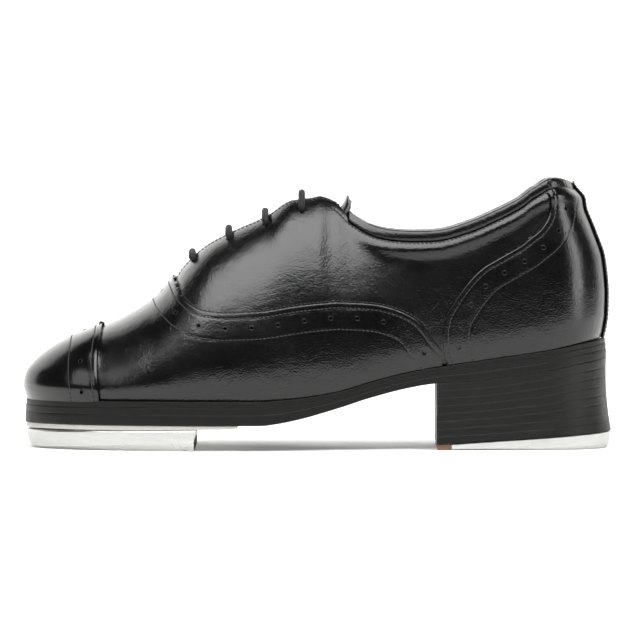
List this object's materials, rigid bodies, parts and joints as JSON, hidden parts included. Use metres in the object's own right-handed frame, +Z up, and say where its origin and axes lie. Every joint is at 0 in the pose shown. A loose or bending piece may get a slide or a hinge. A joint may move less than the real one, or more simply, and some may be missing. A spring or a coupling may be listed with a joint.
{
  "type": "tap shoe",
  "caption": "Left cap-toe oxford tap shoe in polished black leather, laced, with a stacked heel and screwed-on aluminium toe and heel taps.",
  "frame": {"origin": "on the floor, under the middle of the shoe's box", "axes": "+X to the toe, +Y to the wearer's left, which is the outer side of this left shoe, +Z up"},
  "size_m": [0.2862, 0.106, 0.1311],
  "materials": {
    "polished_leather": "black full-grain leather, polished to a gloss",
    "lining": "matt grey lining leather",
    "tongue_cloth": "grey woven cloth over thin foam",
    "lace_braid": "black round braid, lightly waxed",
    "lace_tip": "black plastic",
    "eyelet_metal": "black enamel",
    "sole_leather": "edges inked black and burnished, underside buffed",
    "stacked_leather": "stacked lifts, inked black and waxed",
    "top_piece_leather": "inked edge, brown buffed underside",
    "tap_aluminium": "satin, cast and tumbled",
    "tap_board": "pale vulcanised fibre",
    "steel": "plain zinc-plated steel",
    "fibre_board": "fibre board",
    "cork": "granulated cork"
  },
  "bodies": {
    "shoe": {"back_strip": "polished_leather", "collar_binding": "polished_leather", "cork_filler": "cork", "eyelet_lateral_1": "eyelet_metal", "eyelet_lateral_2": "eyelet_metal", "eyelet_lateral_3": "eyelet_metal", "eyelet_lateral_4": "eyelet_metal", "eyelet_medial_1": "eyelet_metal", "eyelet_medial_2": "eyelet_metal", "eyelet_medial_3": "eyelet_metal", "eyelet_medial_4": "eyelet_metal", "heel_counter_cover": "polished_leather", "heel_lift_1": "stacked_leather", "heel_lift_2": "stacked_leather", "heel_lift_3": "stacked_leather", "heel_lift_4": "stacked_leather", "heel_lift_5": "stacked_leather", "heel_lift_6": "stacked_leather", "heel_lift_7": "stacked_leather", "heel_nail_back": "steel", "heel_nail_lateral": "steel", "heel_nail_medial": "steel", "heel_pad": "lining", "heel_stiffener": "fibre_board", "heel_tap": "tap_aluminium", "heel_top_piece": "top_piece_leather", "insole_board": "fibre_board", "lace": "lace_braid", "lace_tip_lateral": "lace_tip", "lace_tip_medial": "lace_tip", "midsole": "sole_leather", "outsole": "sole_leather", "quarter_lateral": "polished_leather", "quarter_lining": "lining", "quarter_medial": "polished_leather", "rand": "sole_leather", "shank": "steel", "sock_liner": "lining", "toe_cap": "polished_leather", "toe_puff": "fibre_board", "toe_tap": "tap_aluminium", "toe_tap_board": "tap_board", "vamp": "polished_leather", "vamp_lining": "lining"},
    "tongue_flap": {"tongue": "polished_leather", "tongue_lining": "tongue_cloth"},
    "heel_screw_back": {"heel_tap_screw_back": "steel"},
    "heel_screw_lateral": {"heel_tap_screw_lateral": "steel"},
    "heel_screw_medial": {"heel_tap_screw_medial": "steel"},
    "toe_screw_front": {"toe_tap_screw_front": "steel"},
    "toe_screw_lateral": {"toe_tap_screw_lateral": "steel"},
    "toe_screw_medial": {"toe_tap_screw_medial": "steel"}
  },
  "joints": [
    {"name": "tongue_hinge", "type": "hinge", "parent": "shoe", "child": "tongue_flap", "pos_m": [0.06921, -0.00119, 0.07055], "axis": [0, 1, 0], "range_deg": [-12, 0], "stiffness_Nm_per_rad": 0.15, "springref_deg": 5.73},
    {"name": "heel_screw_back_turn", "type": "hinge", "parent": "shoe", "child": "heel_screw_back", "pos_m": [-0.12727, 0.00094, 0.00523], "axis": [0, 0, 1], "range_deg": [0, 180]},
    {"name": "heel_screw_lateral_turn", "type": "hinge", "parent": "shoe", "child": "heel_screw_lateral", "pos_m": [-0.09581, 0.02226, 0.00308], "axis": [0, 0, 1], "range_deg": [0, 180]},
    {"name": "heel_screw_medial_turn", "type": "hinge", "parent": "shoe", "child": "heel_screw_medial", "pos_m": [-0.09581, -0.01999, 0.00308], "axis": [0, 0, 1], "range_deg": [0, 180]},
    {"name": "toe_screw_front_turn", "type": "hinge", "parent": "shoe", "child": "toe_screw_front", "pos_m": [0.12441, -0.00493, 0.00599], "axis": [0, 0, 1], "range_deg": [0, 180]},
    {"name": "toe_screw_lateral_turn", "type": "hinge", "parent": "shoe", "child": "toe_screw_lateral", "pos_m": [0.07579, 0.03191, 0.0068], "axis": [0, 0, 1], "range_deg": [0, 180]},
    {"name": "toe_screw_medial_turn", "type": "hinge", "parent": "shoe", "child": "toe_screw_medial", "pos_m": [0.07579, -0.03531, 0.0068], "axis": [0, 0, 1], "range_deg": [0, 180]}
  ]
}
